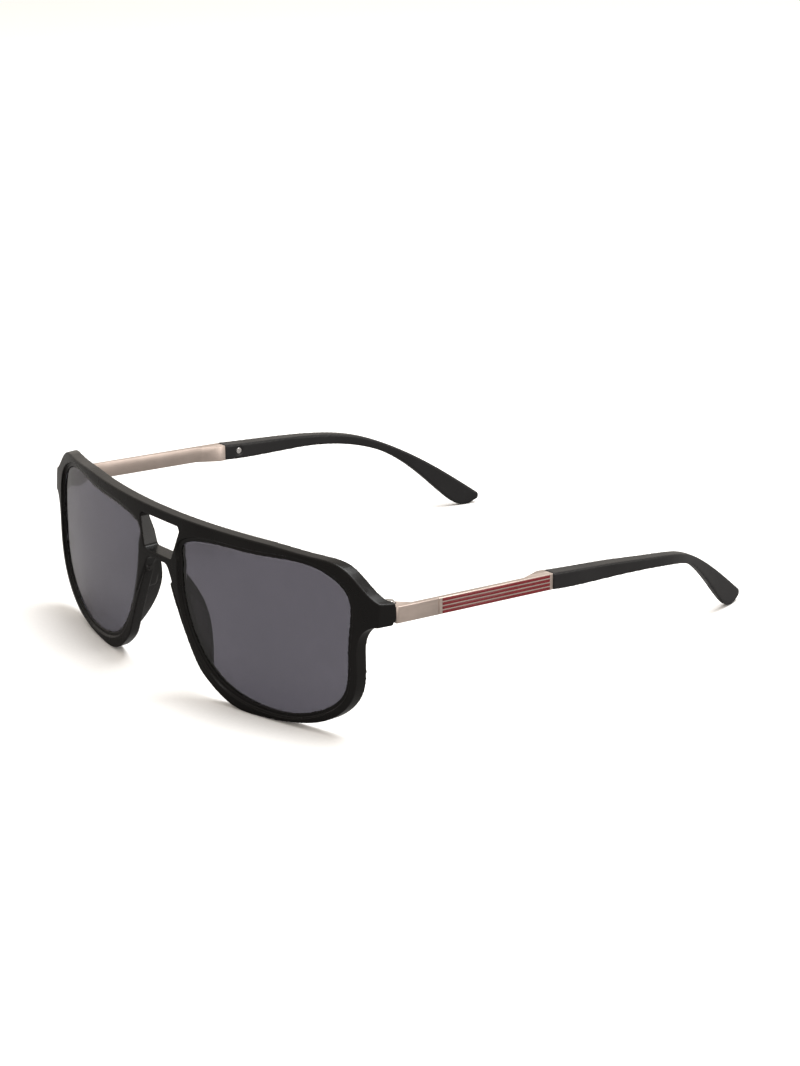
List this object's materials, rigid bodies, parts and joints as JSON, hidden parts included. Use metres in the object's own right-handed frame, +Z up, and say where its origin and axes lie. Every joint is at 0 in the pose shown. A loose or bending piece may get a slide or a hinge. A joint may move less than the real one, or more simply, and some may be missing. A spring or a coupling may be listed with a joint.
{
  "type": "sunglasses",
  "caption": "Square aviator sunglasses with a double bridge, smoke lenses and folding metal temples with moulded tips.",
  "frame": {"origin": "on the surface the glasses stand on, under the middle of the open glasses", "axes": "+X the wearer's left, -Y the way the front faces, +Z up; the glasses stand open on both rims and both tips"},
  "size_m": [0.149, 0.1614, 0.0485],
  "materials": {
    "front": "matte black injection-moulded nylon",
    "lens": "polished smoke-grey polycarbonate",
    "temple_metal": "warm gunmetal, brushed lengthwise",
    "hinge_metal": "satin",
    "enamel": "dark red enamel",
    "tip": "matte black moulded sleeve",
    "screw": "bright nickel-plated screw"
  },
  "bodies": {
    "front": {"front_frame": "front", "lens_left": "lens", "front_hinge_left": "hinge_metal", "hinge_screw_left": "screw", "lens_right": "lens", "front_hinge_right": "hinge_metal", "hinge_screw_right": "screw"},
    "left_temple": {"temple_hinge_left": "hinge_metal", "temple_bar_left": "temple_metal", "temple_tip_left": "tip", "tip_screw_left": "screw", "stripe_inlay_left_1": "enamel", "stripe_inlay_left_2": "enamel", "stripe_inlay_left_3": "enamel", "stripe_inlay_left_4": "enamel"},
    "right_temple": {"temple_hinge_right": "hinge_metal", "temple_bar_right": "temple_metal", "temple_tip_right": "tip", "tip_screw_right": "screw", "stripe_inlay_right_1": "enamel", "stripe_inlay_right_2": "enamel", "stripe_inlay_right_3": "enamel", "stripe_inlay_right_4": "enamel"}
  },
  "joints": [
    {"name": "left_temple_fold", "type": "hinge", "parent": "front", "child": "left_temple", "pos_m": [0.0703, -0.0584, 0.0353], "axis": [0, 0, 1], "range_deg": [0, 84]},
    {"name": "right_temple_fold", "type": "hinge", "parent": "front", "child": "right_temple", "pos_m": [-0.0703, -0.0584, 0.0353], "axis": [0, 0, -1], "range_deg": [0, 73]}
  ]
}
